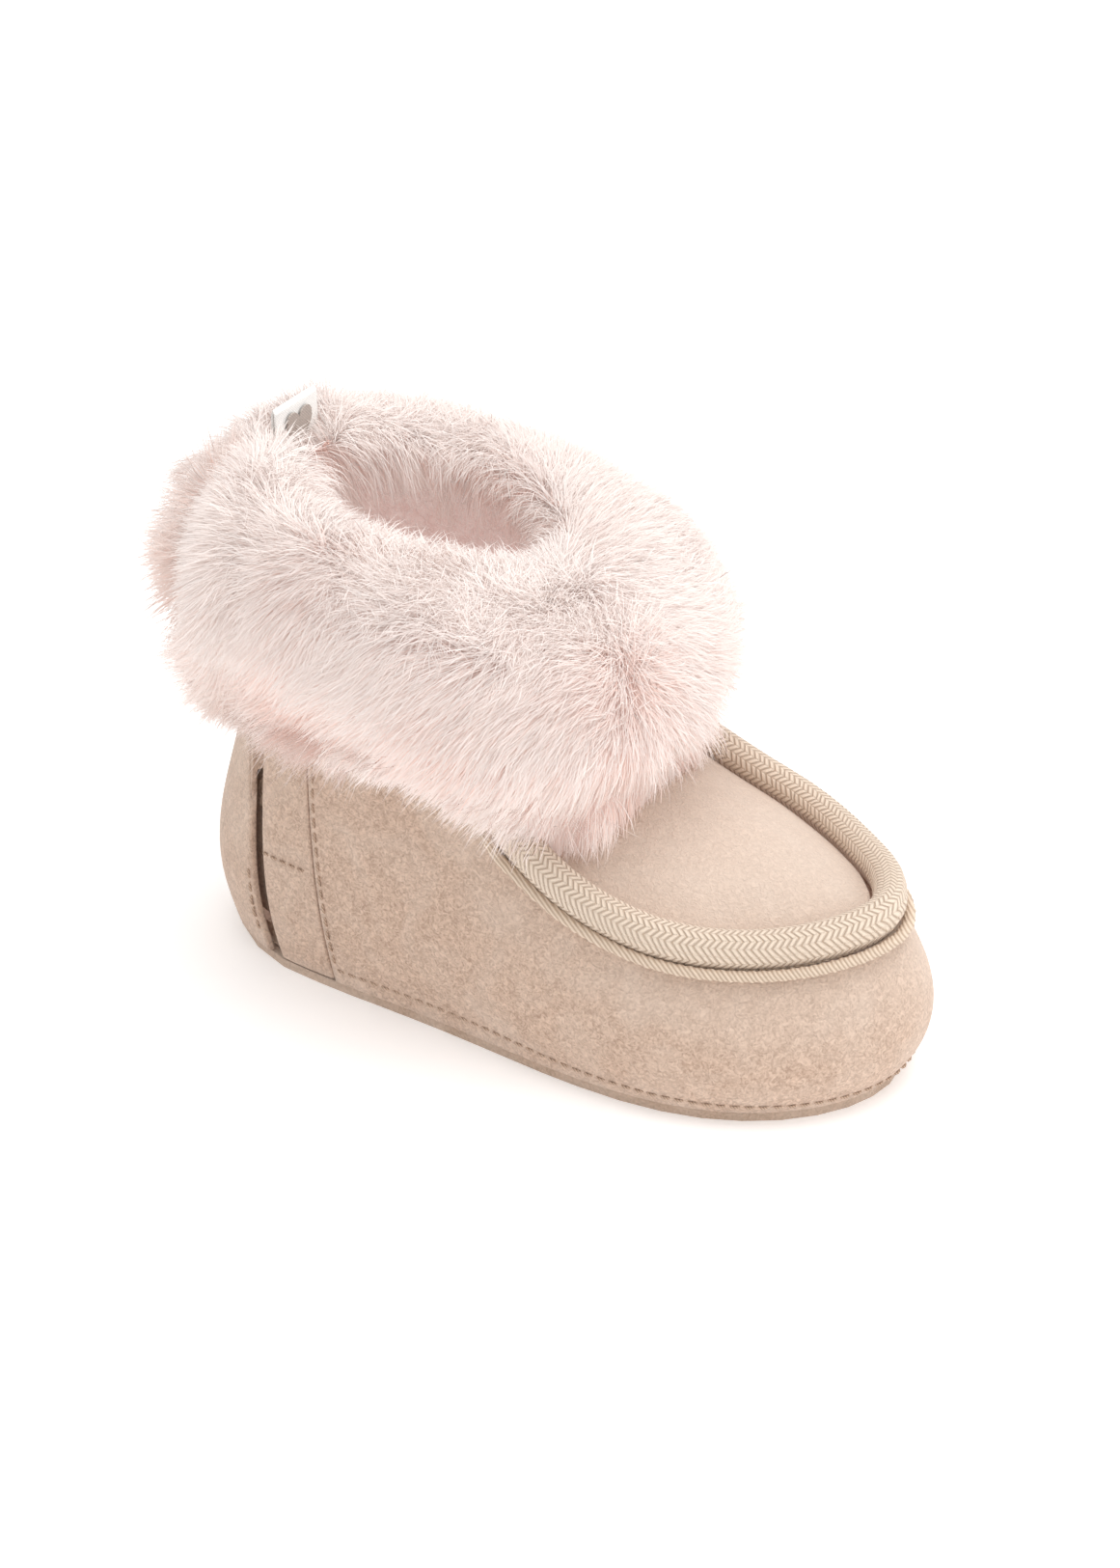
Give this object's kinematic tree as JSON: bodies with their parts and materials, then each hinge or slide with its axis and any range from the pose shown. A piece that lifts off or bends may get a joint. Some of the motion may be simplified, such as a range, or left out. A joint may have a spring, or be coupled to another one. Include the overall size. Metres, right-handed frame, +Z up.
{
  "type": "baby bootie",
  "caption": "Soft suede baby bootie with a bound moccasin toe, a deep turned-down faux-fur cuff and an ankle slit that opens on hook-and-loop tape.",
  "frame": {"origin": "centre of the outsole's underside, on the ground", "axes": "+X towards the toe, +Y to the wearer's left (the outer side of this left foot), +Z up"},
  "size_m": [0.1231, 0.0722, 0.0855],
  "materials": {
    "suede": "brushed suede, beige, mottled nap",
    "sole": "soft suede outsole",
    "foam": "soft white wadding",
    "insole": "pink short plush",
    "tape": "cream herringbone tape",
    "fur": "long faux fur, pink roots and white tips",
    "lining": "pink plush",
    "hook_loop": "hook-and-loop tape",
    "thread": "sewing thread",
    "ribbon": "white woven ribbon",
    "mark": "grey printed mark"
  },
  "bodies": {
    "bootie": {"outsole": "sole", "midsole_foam": "foam", "footbed": "insole", "side_wall": "suede", "wall_padding": "foam", "tape_binding": "tape", "tape_cord": "tape", "placket": "suede", "apron": "suede", "instep_lining": "lining", "heel_quarter": "suede", "lining": "lining", "cuff": "fur", "loop_tape": "hook_loop", "thread_sole": "thread", "thread_placket": "thread", "thread_slit": "thread", "thread_bar": "thread", "thread_back": "thread"},
    "closure_flap": {"heel_flap": "suede", "flap_lining": "lining", "hook_tape": "hook_loop", "cuff_flap": "fur"},
    "label_tab": {"label": "ribbon", "label_mark": "mark"}
  },
  "joints": [
    {"name": "flap_hinge", "type": "hinge", "parent": "bootie", "child": "closure_flap", "pos_m": [-0.04331, -0.02054, 0.022], "axis": [0.1223, -0.2924, -0.9484], "range_deg": [0, 40]},
    {"name": "label_hinge", "type": "hinge", "parent": "bootie", "child": "label_tab", "pos_m": [-0.0492, 0.0017, 0.0743], "axis": [0, 1, 0], "range_deg": [-10, 15]}
  ]
}
